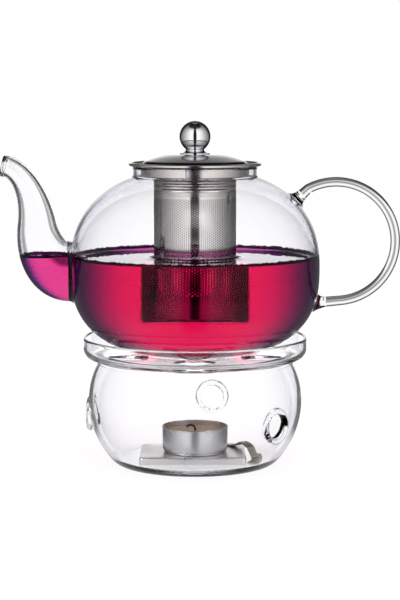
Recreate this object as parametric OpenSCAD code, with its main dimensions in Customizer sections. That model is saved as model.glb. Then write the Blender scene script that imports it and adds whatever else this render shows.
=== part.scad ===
// Glass teapot with a steel infuser and lid, standing on its glass candle warmer.
// Millimetres, +Z up. The origin is on the table, on the axis of the warmer.
// The spout points to -X and the handle to +X. Azimuths run from -Y towards +X.

/* [Warmer bowl] */
// Largest outer radius of the warmer's belly
bowl_r = 62.4; // [58:0.2:72]
// Height of the widest place above the table
bowl_mid_z = 38; // [34:0.5:44]
// Depth of the lower half of the belly's curve, of which the floor cuts off the end
bowl_low_h = 56; // [52:0.5:64]
// Outer radius of the neck below the dish
bowl_neck_r = 57.3; // [56:0.1:60]
// Height of the top of the neck above the table
bowl_h = 63; // [61:0.5:74]
// Height of the straight neck
bowl_neck_h = 2.8; // [2:0.1:5]
// Thickness of the blown wall
bowl_wall = 2; // [1.5:0.1:2.5]
// Thickness of the floor
bowl_floor = 2.8; // [2:0.1:4]
// Radius of the flat that stands on the table
bowl_base_r = 41; // [39:0.5:45]

/* [Side vents] */
// Azimuths of the side vents in degrees
vent_azimuths = [48, 170, 265]; // [0:1:360]
// Height of the side vents above the table
vent_z = 29; // [26:0.5:36]
// Radius of a side vent
vent_r = 7; // [5:0.2:9]
// Radius of the glass bead round a side vent
vent_bead_r = 1.7; // [1.2:0.1:2.2]

/* [Warmer dish] */
// Outer radius of the dish
dish_r = 65.5; // [64:0.5:76]
// Height of the dish from its underside to its lip
dish_h = 12.4; // [11:0.2:18]
// Thickness of the dish's floor
dish_floor = 2.5; // [2:0.1:4]
// Thickness of the dish's wall
dish_wall = 2; // [1.6:0.1:2.6]
// Radial reach of the round corner below the dish's wall
dish_corner_w = 5.5; // [4.5:0.1:6.5]
// Height of that round corner
dish_corner_h = 6.5; // [5.5:0.1:7.5]
// Radius of the opening in the middle that the tealight goes in by
dish_hole_r = 24; // [21:0.5:26]
// Number of vents round that opening
dish_vents = 6; // [3:1:6]
// Radius of one of these vents
dish_vent_r = 10.8; // [6:0.2:11]
// Distance of the vents from the axis
dish_vent_ring_r = 44; // [42:0.2:44]

/* [Candle tray] */
// Length of the tray along X
tray_l = 62; // [54:1:64]
// Width of the tray along Y
tray_w = 42; // [38:1:46]
// Height of the tray's top above the warmer's floor
tray_h = 4.2; // [3:0.1:6]
// Place of the tray's middle along X
tray_x = -1.3; // [-2:0.1:0]
// Thickness of the tray's sheet
tray_t = 0.6; // [0.4:0.1:1]
// Width of the strap
strap_w = 5; // [4:0.5:7]
// Thickness of the strap
strap_t = 0.8; // [0.5:0.1:1.2]
// Rise of the strap's hump above the tray
strap_rise = 3.8; // [2:0.1:6]
// Distance of the strap's fixed end from the tray's end
strap_inset = 9.7; // [8:0.1:12]
// Angle of the strap's foot off the X axis
strap_foot_a = 12; // [6:1:18]
// Width of the blade at the strap's end
blade_w = 5.6; // [4:0.2:6.6]

/* [Tealight] */
// Outer radius of the tealight's cup
cup_r = 19.2; // [18:0.1:20]
// Height of the cup
cup_h = 15.2; // [12:0.1:18]
// Thickness of the cup's foil, with its folds
cup_t = 0.4; // [0.3:0.05:0.6]
// Depth of the wax below the cup's rim
wax_drop = 3; // [2:0.1:5]
// Radius of the wick
wick_r = 0.7; // [0.5:0.05:1]
// Radius of the curl at the wick's end
wick_curl_r = 2.6; // [2:0.1:3.5]
// Radius of the tin foot that holds the wick
sustainer_r = 6.5; // [5:0.1:8]

/* [Pot body] */
// Largest outer radius of the pot
pot_r = 73.1; // [70:0.1:80]
// Height of the widest place above the pot's base
pot_mid_h = 51.5; // [48:0.5:52.5]
// Depth of the lower curve, of which the flat base cuts off the end
pot_low_h = 53.6; // [53.2:0.1:58]
// Fullness of the lower curve, where 2 is an ellipse
pot_low_power = 2.65; // [2.2:0.05:3]
// Height of the upper curve, of which the neck cuts off the end
pot_up_h = 57.1; // [54:0.1:60]
// Fullness of the upper curve
pot_up_power = 2.3; // [2.1:0.05:2.6]
// Outer radius of the neck
neck_r = 36.4; // [35.8:0.1:38]
// Height of the neck's top above the pot's base
pot_h = 109.3; // [107.5:0.1:116]
// Thickness of the blown wall
pot_wall = 2; // [1.5:0.1:2.4]
// Thickness of the pot's base
pot_floor = 1.8; // [1.5:0.1:4]

/* [Spout] */
// Outer radius of the spout where it is fused to the body
spout_root_r = 17.6; // [15:0.1:19]
// Outer radius of the spout at its mouth
spout_tip_r = 6; // [5:0.1:8]
// Thickness of the spout's wall
spout_wall = 1.7; // [1.3:0.1:2.2]
// Height of the root's middle above the pot's base
spout_root_h = 48; // [44:0.5:52]
// Distance of the upright stretch from the axis
spout_stand = 91.7; // [90:0.1:98]
// Height of the upright stretch above the pot's base
spout_bend_h = 74.5; // [70:0.5:80]
// Distance of the mouth from the axis
spout_reach = 112; // [109:0.5:122]
// Height of the mouth's middle above the pot's base
spout_tip_h = 110; // [106:0.5:118]

/* [Handle] */
// Radius of the glass rod
rod_r = 2.85; // [2.2:0.05:3.5]
// Radius of the gobs that fuse the rod to the body
gob_r = 4.6; // [3.8:0.1:5.5]
// Radius of the handle's round bow, to the rod's middle
bow_r = 34.7; // [30:0.1:36]
// Distance of the bow's middle from the axis
bow_x = 82; // [80:0.1:88]
// Height of the bow's middle above the pot's base
bow_h = 65.5; // [62:0.5:68]

/* [Tea] */
// Height of the tea above the pot's base
tea_h = 55.8; // [40:0.2:60]

/* [Infuser] */
// Radius of the rolled flange
flange_r = 39; // [38.2:0.1:41]
// Radius of the roll at the flange's edge
flange_roll_r = 1.1; // [0.8:0.1:1.4]
// Outer radius of the collar that the lid stands in
collar_r = 31.6; // [30:0.1:33]
// Depth of the collar below the flange's underside
collar_d = 6.4; // [5:0.1:9]
// Thickness of the steel sheet
steel_t = 0.7; // [0.5:0.05:0.9]
// Width of the small window in the collar
window_w = 6; // [4:0.2:8]
// Outer radius of the basket
basket_r = 24.2; // [22:0.1:26]
// Depth of the basket's lower end below the flange's underside
basket_d = 82; // [70:0.5:94]
// Depth of the solid throat's lower edge below the flange's underside
throat_d = 17; // [14:0.5:22]
// Height of the solid cap at the basket's lower end
cap_h = 7; // [5:0.5:12]
// Radius of one hole of the perforated sheet
mesh_hole_r = 1; // [0.6:0.1:1.4]
// Pitch of the holes along the basket
mesh_pitch = 5.5; // [4:0.5:8]
// Number of holes round the basket
mesh_holes_round = 20; // [12:1:24]

/* [Lid] */
// Outer radius of the lid's skirt
lid_r = 30.4; // [29:0.1:30.5]
// Height of the lid's flat middle above the flange's underside
lid_h = 7.1; // [6:0.1:10]
// Height of the lid's edge above the flange's underside
lid_edge_h = 3; // [2.4:0.1:4]
// Radius of the flat seat for the knob
lid_seat_r = 9.6; // [9.2:0.1:12]
// Radius of the knob's ball
ball_r = 9.1; // [7.5:0.1:11]
// Radius of the neck between the ball and its foot
knob_neck_r = 5.3; // [4.2:0.1:6]
// Radius of the knob's flared foot
knob_foot_r = 8.8; // [7:0.1:9]
// Height of the knob's flared foot
knob_foot_h = 2.6; // [2:0.1:5]
// Radius of the knob's screw
screw_r = 1.5; // [1.2:0.1:2]

/* [Hidden] */
$fn = 96;

// Points on each curved stretch of a turned outline
steps = 20;
// Far enough to pass right through a wall
cut = 1;
// Clearances: loose fit, liquid beside glass, how far fused glass sinks in, tea beside
// the basket. The last one is the thickness of the washer under the lid
slip = 0.1;
liquid_gap = 0.15;
fuse = 0.4;
well_gap = 1.5;
washer_t = 0.6;

glass = [0.86, 0.88, 0.94, 0.35];
steel = [0.62, 0.62, 0.64];
foil = [0.75, 0.75, 0.78];

dish_z = bowl_h;
pot_z = dish_z + dish_floor;
bowl_up_h = (bowl_h - bowl_neck_h - bowl_mid_z) / sin(acos(bowl_neck_r / bowl_r));
tray_z = bowl_floor + tray_h;
blade_r = bowl_base_r - cut - slip - blade_w / 2;
wax_top = cup_h - wax_drop;
neck_top = pot_z + pot_h;
tea_z = pot_z + tea_h;
basket_z = neck_top - basket_d;
ledge_z = neck_top - collar_d;
throat_z = neck_top - throat_d;
seat_z = neck_top + lid_h;
ball_z = seat_z + knob_foot_h + sqrt(pow(ball_r, 2) - pow(knob_neck_r, 2));

// A point between a and b
function mix(a, b, share) = a + (b - a) * share;

// Points along a quarter-like curve about [x, z], with its own two radii
function arc(x, z, rx, rz, from, to, count = steps) =
    [for (i = [0:count]) let (a = mix(from, to, i / count)) [x + rx * cos(a), z + rz * sin(a)]];

// Points along a quadratic curve from a to c that leaves towards b
function bend(a, b, c, count = 6) =
    [for (i = [0:count]) let (t = i / count)
        pow(1 - t, 2) * a + 2 * t * (1 - t) * b + pow(t, 2) * c];

// A point of a cubic curve with the four handles p
function cubic(p, t) =
    pow(1 - t, 3) * p[0] + 3 * t * pow(1 - t, 2) * p[1]
    + 3 * pow(t, 2) * (1 - t) * p[2] + pow(t, 3) * p[3];

// Radius of a superellipse with half width r and half height h, at height z
function full_r(r, h, power, z) = r * pow(1 - pow(abs(z) / h, power), 1 / power);

// Radius of the pot's outside at height z above its base
function pot_radius(z) = z < pot_mid_h
    ? full_r(pot_r, pot_low_h, pot_low_power, pot_mid_h - z)
    : full_r(pot_r, pot_up_h, pot_up_power, z - pot_mid_h);

// Radius of the warmer's outside at height z above the table
function bowl_radius(z) = full_r(bowl_r, z < bowl_mid_z ? bowl_low_h : bowl_up_h, 2, bowl_mid_z - z);

// Outline of the pot from its base to its neck, drawn in by skin and up by lift at the base
function pot_curve(skin, lift) = let (
        r = pot_r - skin,
        low_h = pot_low_h - skin,
        up_h = pot_up_h - skin,
        low = asin(pow((pot_mid_h - lift) / low_h, pot_low_power / 2)),
        up = acos(pow((neck_r - skin) / r, pot_up_power / 2))
    ) [for (i = [-steps:steps]) i < 0
        ? let (a = -low * i / steps)
            [r * pow(cos(a), 2 / pot_low_power),
             pot_mid_h - low_h * pow(sin(a), 2 / pot_low_power)]
        : let (a = up * i / steps)
            [r * pow(cos(a), 2 / pot_up_power),
             pot_mid_h + up_h * pow(sin(a), 2 / pot_up_power)]];

// A closed skin over rings of points, each ring with the same number of points
module skin(rings, closed_loop = false) {
    n = len(rings[0]);
    m = len(rings);
    sides = [for (k = [0:(closed_loop ? m - 1 : m - 2)], i = [0:n - 1])
        let (a = k * n, b = ((k + 1) % m) * n, j = (i + 1) % n)
        each [[a + i, a + j, b + j], [a + i, b + j, b + i]]];
    ends = closed_loop ? [] : [
        [for (i = [n - 1:-1:0]) i],
        [for (i = [0:n - 1]) (m - 1) * n + i]];
    polyhedron(points = [for (ring = rings) each ring], faces = concat(sides, ends), convexity = 6);
}

// A ring of points round p in a plane square to the direction d, both in the XZ plane
function ring(p, d, r, n) = let (s = d / norm(d))
    [for (i = [0:n - 1]) let (a = 360 * i / n)
        [p[0] - s[1] * r * cos(a), r * sin(a), p[1] + s[0] * r * cos(a)]];

// Direction of the path at point k
function heading(path, k) = path[min(k + 1, len(path) - 1)] - path[max(k - 1, 0)];

// A ring pushed along X onto the pot's outer surface, where it is fused on
function on_pot(points, side) = [for (p = points)
    [side * (sqrt(pow(pot_radius(p[2]), 2) - pow(p[1], 2)) - fuse), p[1], p[2]]];

/* Warmer */

// Radius of the joint between the thick base and the wall above it
base_joint_r = bowl_base_r - 3 * cut;

module warmer_base() {
    color(glass) cylinder(r = base_joint_r, h = bowl_floor);
}

module warmer_bowl() {
    corner_h = 4;
    half = steps / 2;
    neck_a = acos(bowl_neck_r / bowl_r);
    low_a = asin((bowl_mid_z - corner_h) / bowl_low_h);
    in_r = bowl_r - bowl_wall;
    in_low_h = bowl_low_h - bowl_wall;
    in_neck_a = acos((bowl_neck_r - bowl_wall) / in_r);
    in_up_h = (bowl_h - bowl_neck_h - bowl_mid_z) / sin(in_neck_a);
    in_low_a = asin((bowl_mid_z - corner_h - bowl_floor) / in_low_h);
    outer = concat(
        arc(0, bowl_mid_z, bowl_r, bowl_low_h, -low_a, 0, half),
        arc(0, bowl_mid_z, bowl_r, bowl_up_h, neck_a / half, neck_a, half - 1));
    inner = concat(
        arc(0, bowl_mid_z, in_r, in_up_h, in_neck_a, in_neck_a / half, half - 1),
        arc(0, bowl_mid_z, in_r, in_low_h, 0, -in_low_a, half));
    start = outer[0];
    end = inner[len(inner) - 1];
    outline = concat(
        [[base_joint_r, 0]],
        bend([bowl_base_r, 0], [mix(bowl_base_r, start[0], 0.6), 0], start),
        outer,
        [[bowl_neck_r, bowl_h], [bowl_neck_r - bowl_wall, bowl_h]],
        inner,
        bend(end, [mix(bowl_base_r, end[0], 0.6), bowl_floor], [bowl_base_r - cut, bowl_floor]),
        [[base_joint_r, bowl_floor]]);
    color(glass)
        difference() {
            rotate_extrude() polygon(outline);
            for (azimuth = vent_azimuths)
                rotate([0, 0, azimuth - 90])
                    translate([bowl_r / 2, 0, vent_z])
                        rotate([0, 90, 0]) cylinder(r = vent_r, h = bowl_r);
        }
}

module warmer_dish() {
    corner_x = dish_r - dish_corner_w;
    lip_r = dish_wall / 2;
    lip_z = dish_h - lip_r;
    outline = concat(
        [[dish_hole_r, 0]],
        arc(corner_x, dish_corner_h, dish_corner_w, dish_corner_h, -90, 0, 10),
        arc(dish_r - lip_r, lip_z, lip_r, lip_r, 0, 180, 8),
        arc(corner_x, dish_corner_h, dish_corner_w - dish_wall, dish_corner_h - dish_floor,
            0, -90, 10),
        [[dish_hole_r, dish_floor]]);
    color(glass)
        translate([0, 0, dish_z])
            difference() {
                rotate_extrude() polygon(outline);
                for (i = [0:dish_vents - 1])
                    rotate([0, 0, -90 + i * 360 / dish_vents])
                        translate([dish_vent_ring_r, 0, -cut])
                            cylinder(r = dish_vent_r, h = dish_floor + 2 * cut);
            }
}

// Beads of glass fused round the side vents
module vent_rings() {
    wall_r = bowl_radius(vent_z);
    color(glass)
        for (azimuth = vent_azimuths)
            rotate([0, 0, azimuth - 90])
                translate([wall_r + vent_bead_r * 0.2, 0, vent_z])
                    rotate([0, 90, 0])
                        rotate_extrude() translate([vent_r + vent_bead_r, 0]) circle(r = vent_bead_r);
}

/* Candle */

module candle_tray() {
    color(steel)
        translate([tray_x, 0, bowl_floor])
            difference() {
                translate([-tray_l / 2, -tray_w / 2, 0]) cube([tray_l, tray_w, tray_h]);
                translate([-tray_l / 2 + tray_t, -tray_w / 2 + tray_t, -cut])
                    cube([tray_l - 2 * tray_t, tray_w - 2 * tray_t, tray_h - tray_t + cut]);
            }
}

module tray_strap() {
    // The strap runs from the tray's back corner over its edge and down to the floor
    edge_x = tray_x + tray_l / 2;
    start = [edge_x - strap_inset, tray_w / 2 - strap_t - strap_w / 2];
    foot = blade_r * [cos(strap_foot_a), -sin(strap_foot_a)];
    run = foot - start;
    length = norm(run);
    over_edge = length * strap_inset / run[0];
    top = tray_h + strap_rise;
    under = concat(
        bend([0, tray_h], [over_edge * 0.45, tray_h], [over_edge * 0.75, top - strap_rise * 0.2]),
        bend([over_edge * 0.85, top], [over_edge * 1.1, top],
             [mix(over_edge, length, 0.45), top - strap_rise * 0.45]),
        bend([mix(over_edge, length, 0.8), tray_h * 0.35], [length - 2, 0], [length + 1, 0]));
    over = [for (i = [len(under) - 1:-1:0]) under[i] + [0, strap_t]];
    // The blade follows the corner of the floor and stays clear of the tray
    blade_in_r = blade_r - blade_w / 2;
    blade_a = acos((edge_x + tray_t) / blade_in_r);
    color(steel)
        translate([0, 0, bowl_floor])
            union() {
                translate(start)
                    rotate([0, 0, atan2(run[1], run[0])])
                        translate([0, strap_w / 2, 0])
                            rotate([90, 0, 0])
                                linear_extrude(height = strap_w) polygon(concat(under, over));
                rotate([0, 0, -blade_a])
                    rotate_extrude(angle = blade_a + strap_foot_a)
                        translate([blade_in_r, 0]) square([blade_w, strap_t]);
            }
}

module candle_cup() {
    step_r = cup_r - 0.7;
    step_h = 1.4;
    roll_r = 0.45;
    outline = concat(
        [[0, 0], [step_r - 0.6, 0], [step_r, 0.6], [step_r, step_h], [cup_r, step_h + 0.5]],
        arc(cup_r, cup_h - roll_r, roll_r, roll_r, -60, 180, 8),
        [[cup_r - cup_t, step_h + 0.6], [step_r - cup_t, step_h + 0.1],
         [step_r - cup_t, cup_t], [0, cup_t]]);
    color(foil) translate([0, 0, tray_z]) rotate_extrude() polygon(outline);
}

module candle_wax() {
    r = cup_r - cup_t - slip;
    low_r = r - 0.8;
    color([0.72, 0.69, 0.56])
        translate([0, 0, tray_z])
            difference() {
                rotate_extrude()
                    polygon([[0, cup_t], [low_r, cup_t], [low_r, 2.4], [r, 3], [r, wax_top],
                             [0, wax_top - 0.3]]);
                cylinder(r = wick_r + slip, h = cup_h);
                cylinder(r = sustainer_r + slip, h = cup_t + 0.5);
                cylinder(r = wick_r + 0.5 + slip, h = 5);
            }
}

module candle_wick() {
    stem_top = wax_top + 0.8;
    curl = [for (i = [0:8]) let (a = 150 * i / 8)
        [-wick_curl_r + wick_curl_r * cos(a), stem_top + wick_curl_r * sin(a)]];
    path = concat([[0, cup_t + 0.4], [0, wax_top / 2]], curl);
    color("black")
        translate([0, 0, tray_z])
            skin([for (k = [0:len(path) - 1]) ring(path[k], heading(path, k), wick_r, 8)]);
}

// Tin foot pressed round the wick's lower end
module wick_sustainer() {
    color(foil)
        translate([0, 0, tray_z + cup_t])
            rotate_extrude()
                polygon([[0, 0], [sustainer_r, 0], [sustainer_r, 0.3], [wick_r + 0.45, 0.4],
                         [wick_r + 0.45, 4.4], [wick_r + 0.05, 4.4], [wick_r + 0.05, 0.35],
                         [0, 0.35]]);
}

/* Pot */

// Heights above the pot's base at which the shoulder turns into the crown, and the crown into
// the neck, a little below the end of the curve
neck_foot_h = pot_curve(0, 0)[2 * steps][1] - cut;
crown_h = mix(pot_mid_h, neck_foot_h, 0.55);

// The blown wall between two heights above the pot's base
module blown_pot(low, high) {
    outside = pot_curve(0, 0);
    inside = pot_curve(pot_wall, pot_floor);
    lip_r = pot_wall / 2;
    outline = concat(
        [[0, 0]],
        outside,
        [[neck_r, pot_h - lip_r], [neck_r - 0.4, pot_h],
         [neck_r - pot_wall + 0.4, pot_h], [neck_r - pot_wall, pot_h - lip_r]],
        [for (i = [len(inside) - 1:-1:0]) inside[i]],
        [[0, pot_floor]]);
    color(glass)
        translate([0, 0, pot_z])
            difference() {
                intersection() {
                    rotate_extrude() polygon(outline);
                    translate([0, 0, low]) cylinder(r = pot_r + cut, h = high - low);
                }
                translate([-pot_r - cut, 0, spout_root_h])
                    rotate([0, 90, 0])
                        cylinder(r = spout_root_r - spout_wall, h = pot_r / 2);
            }
}

module pot_belly() {
    blown_pot(-cut, pot_mid_h);
}

module pot_shoulder() {
    blown_pot(pot_mid_h, crown_h);
}

module pot_crown() {
    blown_pot(crown_h, neck_foot_h);
}

module pot_neck() {
    blown_pot(neck_foot_h, pot_h + cut);
}

// Middle line of the spout, from the body's wall to the mouth
spout_rings = 18;
spout_sides = 20;
spout_low = [
    [-pot_r, spout_root_h],
    [-mix(pot_r, spout_stand, 0.48), spout_root_h],
    [-spout_stand + 1.2, mix(spout_root_h, spout_bend_h, 0.4)],
    [-spout_stand, spout_bend_h]];
spout_high = [
    [-spout_stand, spout_bend_h],
    [-spout_stand - 0.9, mix(spout_bend_h, spout_tip_h, 0.48)],
    [-mix(spout_stand, spout_reach, 0.4), spout_tip_h - 2],
    [-spout_reach, spout_tip_h]];
spout_path = [for (k = [0:spout_rings]) let (t = 2 * k / spout_rings)
    t < 1 ? cubic(spout_low, t) : cubic(spout_high, t - 1)];

// Rings of the spout, drawn in by skin, with the first one on the body
function spout_tube(skin) = [for (k = [0:spout_rings])
    let (
        r = mix(spout_tip_r, spout_root_r, (1 + cos(180 * k / spout_rings)) / 2) - skin,
        points = ring(spout_path[k], heading(spout_path, k), r, spout_sides)
    ) k == 0 ? on_pot(points, -1) : points];

module spout() {
    inside = spout_tube(spout_wall);
    color(glass)
        translate([0, 0, pot_z])
            skin(concat(spout_tube(0), [for (k = [spout_rings:-1:0]) inside[k]]),
                 closed_loop = true);
}

module handle() {
    sides = 14;
    top_a = 118;
    low_a = -84;
    count = 26;
    bow = arc(bow_x, bow_h, bow_r, bow_r, top_a, low_a, count);
    top_z = bow[0][1] - 7;
    low_z = bow[count][1] - 1.5;
    ends = [[pot_radius(top_z), top_z], [pot_radius(low_z), low_z]];
    path = concat([ends[0], mix(ends[0], bow[0], 0.5)], bow, [mix(bow[count], ends[1], 0.6), ends[1]]);
    last = len(path) - 1;
    function rod(k) = mix(rod_r, gob_r, pow(max(0, 1 - min(k, last - k) / 2.5), 2));
    color(glass)
        translate([0, 0, pot_z])
            skin([for (k = [0:last]) let (points = ring(path[k], heading(path, k), rod(k), sides))
                k == 0 || k == last ? on_pot(points, 1) : points]);
}

// The liquid, with a well in it for the basket
module tea() {
    reach = spout_reach + cut;
    inside = pot_curve(pot_wall + liquid_gap, pot_floor);
    tube = spout_tube(spout_wall + liquid_gap);
    root = ring([-pot_r + 8, spout_root_h], [-1, 0], spout_root_r - spout_wall - liquid_gap,
                spout_sides);
    color([0.80, 0.05, 0.32, 0.8])
        difference() {
            intersection() {
                translate([0, 0, pot_z])
                    union() {
                        rotate_extrude() polygon(concat([[0, pot_floor]], inside, [[0, pot_h]]));
                        skin(concat([root], tube));
                    }
                translate([-reach, -reach, 0]) cube([2 * reach, 2 * reach, tea_z]);
            }
            translate([0, 0, basket_z - well_gap])
                cylinder(r = basket_r + well_gap, h = basket_d);
        }
}

/* Infuser */

module infuser_rim() {
    roll_z = flange_roll_r;
    color(steel)
        translate([0, 0, neck_top])
            difference() {
                rotate_extrude()
                    polygon(concat(
                        [[basket_r, -throat_d], [basket_r, -collar_d - steel_t],
                         [collar_r - 0.8, -collar_d - steel_t], [collar_r, -collar_d - steel_t + 0.8],
                         [collar_r, 0]],
                        arc(flange_r - flange_roll_r, roll_z, flange_roll_r, flange_roll_r,
                            -90, 150, 10),
                        [[flange_r - 2 * flange_roll_r, steel_t + 0.3], [collar_r, steel_t],
                         [collar_r - steel_t, 0],
                         [collar_r - steel_t, -collar_d], [basket_r - steel_t, -collar_d],
                         [basket_r - steel_t, -throat_d]]));
                rotate([0, 0, -94])
                    translate([collar_r - steel_t - cut, -window_w / 2, -collar_d + 1])
                        cube([steel_t + 2 * cut, window_w, collar_d - 2]);
            }
}

// Perforated sheet, butt welded to the throat and to the cap
module infuser_mesh() {
    h = basket_d - throat_d - cap_h;
    rows = floor((h - 2 * mesh_hole_r - 2) / mesh_pitch);
    color(steel)
        translate([0, 0, basket_z + cap_h])
            difference() {
                rotate_extrude() translate([basket_r - steel_t, 0]) square([steel_t, h]);
                for (row = [0:rows], i = [0:mesh_holes_round - 1])
                    rotate([0, 0, (i + (row % 2) / 2) * 360 / mesh_holes_round])
                        translate([basket_r - steel_t - cut, 0, h / 2 + (row - rows / 2) * mesh_pitch])
                            rotate([0, 90, 0]) cylinder(r = mesh_hole_r, h = steel_t + 2 * cut);
            }
}

module infuser_base() {
    color(steel)
        translate([0, 0, basket_z])
            difference() {
                rotate_extrude()
                    polygon([[0, 0], [basket_r - 1, 0], [basket_r, 1], [basket_r, cap_h],
                             [basket_r - steel_t, cap_h], [basket_r - steel_t, steel_t],
                             [0, steel_t]]);
                for (hoop = [1:3], i = [0:6 * hoop - 1])
                    rotate([0, 0, i * 60 / hoop])
                        translate([hoop * basket_r / 4, 0, -cut])
                            cylinder(r = mesh_hole_r, h = steel_t + 2 * cut);
            }
}

/* Lid */

// Pressed lid: a flat seat for the knob, a shallow dome and a skirt down to the collar's ledge
module lid_dome() {
    corner = 1.2;
    drop = lid_h - lid_edge_h;
    span = lid_r - corner - lid_seat_r;
    dome_r = (pow(span, 2) + pow(drop, 2)) / (2 * drop);
    dome_a = asin(span / dome_r);
    function dome(r, from, to) = arc(lid_seat_r, lid_h - dome_r, r, r, from, to, 12);
    outline = concat(
        [[screw_r + slip, lid_h]],
        dome(dome_r, 90, 90 - dome_a),
        [[lid_r, lid_edge_h - corner], [lid_r, -collar_d], [lid_r - steel_t, -collar_d],
         [lid_r - steel_t, lid_edge_h - corner - steel_t / 2]],
        dome(dome_r - steel_t, 90 - dome_a, 90),
        [[screw_r + slip, lid_h - steel_t]]);
    color(steel) translate([0, 0, neck_top]) rotate_extrude() polygon(outline);
}

module knob_ball() {
    thread_d = 6;
    color(steel)
        difference() {
            translate([0, 0, ball_z]) sphere(r = ball_r);
            translate([0, 0, seat_z + knob_foot_h - 2 * ball_r])
                cylinder(r = 2 * ball_r, h = 2 * ball_r);
            translate([0, 0, seat_z]) cylinder(r = screw_r + slip, h = knob_foot_h + thread_d);
        }
}

module knob_foot() {
    flare = knob_foot_r - knob_neck_r;
    edge_h = 0.5;
    outline = concat(
        [[screw_r + slip, 0], [knob_foot_r, 0]],
        arc(knob_foot_r, knob_foot_h, flare, knob_foot_h - edge_h, -90, -180, 8),
        [[screw_r + slip, knob_foot_h]]);
    color(steel) translate([0, 0, seat_z]) rotate_extrude() polygon(outline);
}

module knob_washer() {
    color(foil)
        translate([0, 0, seat_z - steel_t - washer_t])
            difference() {
                cylinder(r = 2.6 * screw_r, h = washer_t);
                translate([0, 0, -cut]) cylinder(r = screw_r + slip, h = washer_t + 2 * cut);
            }
}

module knob_screw() {
    head_h = 1.6;
    head_z = seat_z - steel_t - washer_t - head_h;
    tip_z = seat_z + knob_foot_h + 5;
    color(steel)
        difference() {
            union() {
                translate([0, 0, head_z]) cylinder(r = 2 * screw_r, h = head_h);
                translate([0, 0, head_z]) cylinder(r = screw_r, h = tip_z - head_z);
            }
            translate([-2 * screw_r - cut, -0.4, head_z - cut])
                cube([4 * screw_r + 2 * cut, 0.8, cut + 0.7]);
        }
}

warmer_base();
warmer_bowl();
warmer_dish();
vent_rings();
candle_tray();
tray_strap();
candle_cup();
candle_wax();
candle_wick();
wick_sustainer();
pot_belly();
pot_shoulder();
pot_crown();
pot_neck();
spout();
handle();
tea();
infuser_rim();
infuser_mesh();
infuser_base();
lid_dome();
knob_ball();
knob_foot();
knob_screw();
knob_washer();
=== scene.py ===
# %% [markdown]
# # A glass teapot on its candle warmer, dressed in Blender
# The teapot is blown from borosilicate glass, with a steel basket and lid, and it stands on a
# glass warmer with a tealight in it. Its measured solids come from a CAD model that is loaded
# first. This file gives them their looks, and replaces the ones whose real form is softer than
# a plain solid. Everything is in metres, and the CAD model stays where it is.

# %% Open the measured model
import math

import bpy
import numpy as np
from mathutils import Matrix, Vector


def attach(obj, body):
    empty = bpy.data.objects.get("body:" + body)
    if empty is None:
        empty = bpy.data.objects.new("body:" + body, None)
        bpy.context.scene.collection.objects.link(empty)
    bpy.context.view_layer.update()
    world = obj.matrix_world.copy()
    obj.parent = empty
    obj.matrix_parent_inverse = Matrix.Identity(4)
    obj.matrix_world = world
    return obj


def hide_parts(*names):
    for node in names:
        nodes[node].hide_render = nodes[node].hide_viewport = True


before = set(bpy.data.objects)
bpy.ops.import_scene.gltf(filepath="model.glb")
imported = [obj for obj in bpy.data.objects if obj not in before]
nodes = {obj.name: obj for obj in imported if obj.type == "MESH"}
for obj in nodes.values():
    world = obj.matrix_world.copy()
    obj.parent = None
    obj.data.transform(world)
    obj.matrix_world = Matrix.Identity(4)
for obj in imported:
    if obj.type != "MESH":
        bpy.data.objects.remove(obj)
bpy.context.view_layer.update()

# %% [markdown]
# ## Sizes that several pieces share
# A piece that replaces a solid has to stand exactly where the solid stands, so its sizes are
# written down once, in millimetres, under the names that a glass blower or a tinsmith would use.

# %% Sizes in millimetres
MM = 0.001
DISH_Z, POT_Z = 63.0, 65.5
BOWL_R, BOWL_MID, BOWL_LOW, BOWL_UP, BOWL_NECK = 62.4, 38.0, 56.0, 56.1, 57.3
BASE_R, BOWL_WALL, BOWL_FLOOR = 41.0, 2.0, 2.8
VENT_AZIMUTHS, VENT_Z, VENT_R, VENT_BEAD = (48, 170, 265), 29.0, 7.0, 1.7
DISH_R, DISH_H, DISH_FLOOR, DISH_WALL = 65.5, 12.4, 2.5, 2.0
DISH_HOLE, DISH_VENT, DISH_RING = 24.0, 10.8, 44.0
POT_R, POT_MID, POT_LOW, POT_UP, NECK_R, POT_H = 73.1, 51.5, 53.6, 57.1, 36.4, 109.3
LOW_POWER, UP_POWER, POT_WALL, POT_FLOOR = 2.65, 2.3, 2.0, 1.8
NECK_TOP = POT_Z + POT_H
TEA_Z = POT_Z + 55.8
BASKET_R, BASKET_Z, CAP_H, THROAT_Z, STEEL = 24.2, 92.8, 7.0, 157.8, 0.7
CUP_R, CUP_H, CUP_Z = 19.2, 15.2, 7.0
WAX_Z = CUP_Z + CUP_H - 3.0
print("neck top", NECK_TOP, "tea level", TEA_Z, "wax level", WAX_Z)

# %% [markdown]
# ## Two ways to make a mesh
# Most of the pot is turned, so an outline spun round the axis is the plain way to make it. In
# Blender that could be a Screw modifier on a drawn profile. Here the ring of points is written
# straight into the mesh, because the outlines come from formulas and need no drawing.

# %% Put points and faces into a mesh object
def make_mesh(name, points, faces, smooth=True):
    """A mesh object from points in millimetres and faces of any length."""
    mesh = bpy.data.meshes.new(name)
    mesh.from_pydata((np.asarray(points, float) * MM).tolist(), [], [list(map(int, f)) for f in faces])
    mesh.validate()
    mesh.update()
    mesh.polygons.foreach_set("use_smooth", [smooth] * len(mesh.polygons))
    mesh.set_sharp_from_angle(angle=math.radians(42))
    piece = bpy.data.objects.new(name, mesh)
    bpy.context.scene.collection.objects.link(piece)
    print(f"{name}: {len(mesh.vertices)} points, {len(mesh.polygons)} faces")
    return piece


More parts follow.
